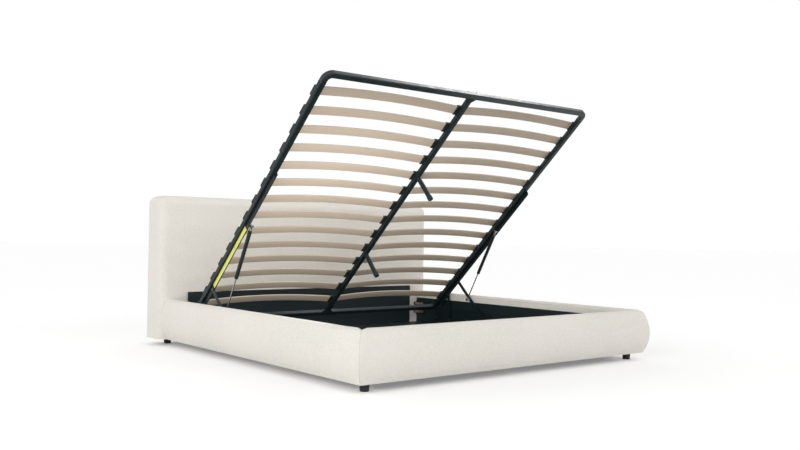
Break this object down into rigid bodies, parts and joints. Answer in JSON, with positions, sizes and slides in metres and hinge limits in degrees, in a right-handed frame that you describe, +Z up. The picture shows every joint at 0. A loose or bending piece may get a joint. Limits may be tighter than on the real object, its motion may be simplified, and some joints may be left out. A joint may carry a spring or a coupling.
{
  "type": "storage bed",
  "caption": "Upholstered storage bed with a rounded headboard, padded rails and a slatted platform that lifts on a gas strut linkage over an open storage box",
  "frame": {"origin": "on the floor, at the centre of the bounding box of the bed with its platform raised", "axes": "+X to the right seen from the foot, +Y towards the headboard, +Z up"},
  "size_m": [2.151, 2.34, 1.5059],
  "materials": {
    "boucle": "cream boucle with fine loops, matte",
    "frame_wood": "raw plywood and timber",
    "dark_cloth": "thin dark nonwoven cloth",
    "dark_board": "smooth dark board, low sheen",
    "powder_coat": "dark blue-grey powder coat, satin",
    "slat_wood": "steam-bent laminated slats, greyish taupe, satin",
    "holder_rubber": "black moulded rubber",
    "foot_plastic": "black moulded plastic",
    "bright_steel": "zinc plated, bright",
    "copper_sleeve": "copper coloured plating, satin",
    "marker_film": "plain yellow film",
    "strut_paint": "black enamel, smooth",
    "rod_steel": "polished rod"
  },
  "bodies": {
    "bed_base": {"headboard_upholstery": "boucle", "headboard_frame": "frame_wood", "headboard_base_cloth": "dark_cloth", "side_rail_upholstery_right": "boucle", "side_rail_upholstery_left": "boucle", "foot_rail_upholstery": "boucle", "side_rail_board_right": "frame_wood", "side_rail_board_left": "frame_wood", "foot_rail_board": "frame_wood", "side_liner_right": "dark_board", "side_liner_left": "dark_board", "foot_liner": "dark_board", "head_panel": "dark_board", "panel_spacers": "frame_wood", "floor_ledgers": "frame_wood", "centre_floor_rail": "frame_wood", "floor_board_right": "dark_board", "floor_board_left": "dark_board", "corner_feet": "foot_plastic", "centre_feet": "foot_plastic", "corner_brackets": "powder_coat", "bracket_screws": "bright_steel", "headboard_brackets": "powder_coat", "joint_bolts": "copper_sleeve", "base_plate_right": "powder_coat", "base_plate_left": "powder_coat", "base_pivot_pins": "bright_steel", "base_screws": "bright_steel"},
    "front_links": {"front_link_right": "powder_coat", "front_link_left": "powder_coat", "strut_lower_studs": "bright_steel"},
    "platform": {"platform_side_tube_right": "powder_coat", "platform_side_tube_left": "powder_coat", "platform_head_tube": "powder_coat", "platform_foot_tube": "powder_coat", "platform_centre_beam": "powder_coat", "lift_arm_right": "powder_coat", "lift_arm_left": "powder_coat", "slat_holders_right": "holder_rubber", "slat_holders_left": "holder_rubber", "slat_holders_centre": "holder_rubber", "slats_right": "slat_wood", "slats_left": "slat_wood", "centre_legs": "powder_coat", "leg_caps": "holder_rubber", "platform_bolts": "bright_steel", "arm_pivot_pins": "bright_steel", "strut_upper_studs": "bright_steel", "stop_buttons": "holder_rubber", "marker_strip": "marker_film"},
    "rear_links": {"rear_link_right": "powder_coat", "rear_link_left": "powder_coat", "rear_link_rivets": "bright_steel"},
    "strut_cylinders": {"strut_cylinder_right": "strut_paint", "strut_cylinder_left": "strut_paint", "strut_top_ends": "bright_steel"},
    "strut_rods": {"strut_rod_right": "rod_steel", "strut_rod_left": "rod_steel"}
  },
  "joints": [
    {"name": "platform_lift", "type": "hinge", "parent": "bed_base", "child": "front_links", "pos_m": [0, 0.13611, 0.1], "axis": [1, 0, 0], "range_deg": [-27.85, 0], "stiffness_Nm_per_rad": 342, "springref_deg": 96.37},
    {"name": "platform_tilt", "type": "hinge", "parent": "front_links", "child": "platform", "pos_m": [0, 0.4335, 0.37816], "axis": [1, 0, 0], "range_deg": [0, 70.01]},
    {"name": "rear_link_hinge", "type": "hinge", "parent": "bed_base", "child": "rear_links", "pos_m": [0, 0.53238, 0.1], "axis": [1, 0, 0], "range_deg": [-48.25, 0]},
    {"name": "strut_cylinder_hinge", "type": "hinge", "parent": "platform", "child": "strut_cylinders", "pos_m": [0, 0.03038, 0.74493], "axis": [1, 0, 0], "range_deg": [0, 10.92]},
    {"name": "strut_rod_slide", "type": "slide", "parent": "strut_cylinders", "child": "strut_rods", "axis": [0, 0.5014, -0.8652], "range_m": [-0.17305, 0]}
  ],
  "couplings": [
    {"joint": "platform_tilt", "follows": "platform_lift", "ratio": -2.5133},
    {"joint": "rear_link_hinge", "follows": "platform_lift", "ratio": 1.7319},
    {"joint": "strut_cylinder_hinge", "follows": "platform_lift", "ratio": -0.39154},
    {"joint": "strut_rod_slide", "follows": "platform_lift", "m_per_rad": 0.35591}
  ]
}
